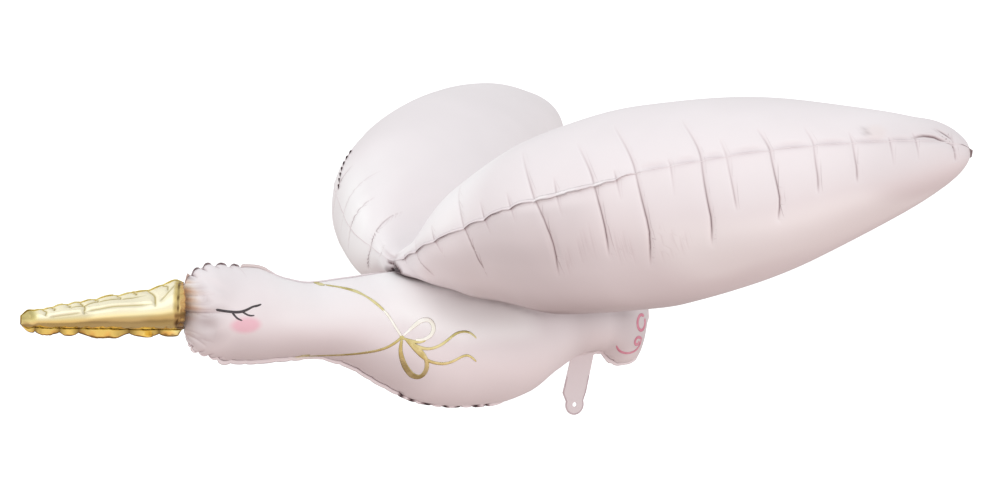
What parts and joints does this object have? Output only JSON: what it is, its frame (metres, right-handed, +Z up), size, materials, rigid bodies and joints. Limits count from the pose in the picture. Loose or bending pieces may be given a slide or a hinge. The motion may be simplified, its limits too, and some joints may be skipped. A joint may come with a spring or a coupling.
{
  "type": "stork foil balloon",
  "caption": "Stork-shaped foil balloon in flight: long rounded body with a narrow gold beak, wide swept wings and a flat filling tab with a ribbon hole.",
  "frame": {"origin": "centre of the ribbon hole in the filling tab below the belly, in the body's middle plane", "axes": "-X the way the bird flies, -Y its left side, +Z up; the wings span Y, the longest way, and Z is the shortest"},
  "size_m": [1.0833, 1.1434, 0.4571],
  "materials": {
    "pink_foil": "satin pale pink metallised film",
    "gold_foil": "mirror-bright gold metallised film"
  },
  "bodies": {
    "root": {"body": "pink_foil", "beak": "gold_foil", "wings": "pink_foil"}
  },
  "joints": []
}
